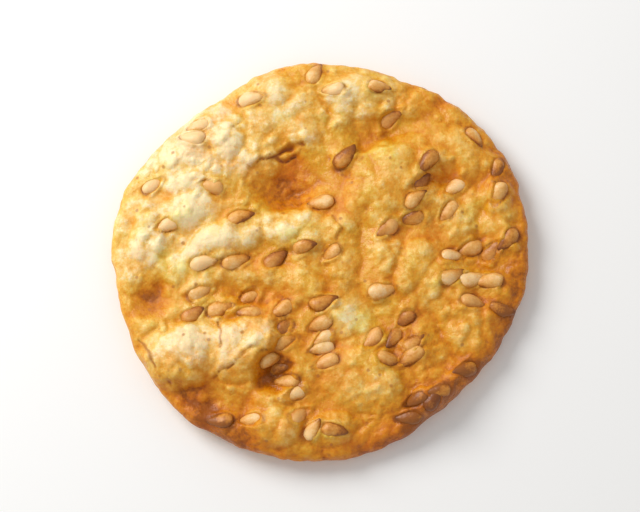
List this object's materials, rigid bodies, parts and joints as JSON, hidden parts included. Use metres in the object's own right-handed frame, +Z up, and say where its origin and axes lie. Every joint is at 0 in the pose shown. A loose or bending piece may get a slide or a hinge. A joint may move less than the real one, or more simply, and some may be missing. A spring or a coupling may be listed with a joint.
{
  "type": "rice cracker",
  "caption": "Round puffed brown-rice cracker, blistered and hollowed on both faces, with toasted sesame seeds baked in.",
  "frame": {"origin": "middle of the outline's bounding box, on the surface that the cracker rests on", "axes": "+Z up out of the show face, +X to the right and +Y to the top of the show face as the picture shows it"},
  "size_m": [0.045, 0.0437, 0.0054],
  "materials": {
    "toasted_rice_dough": "matte"
  },
  "bodies": {
    "root": {"rice_cracker": "toasted_rice_dough"}
  },
  "joints": []
}
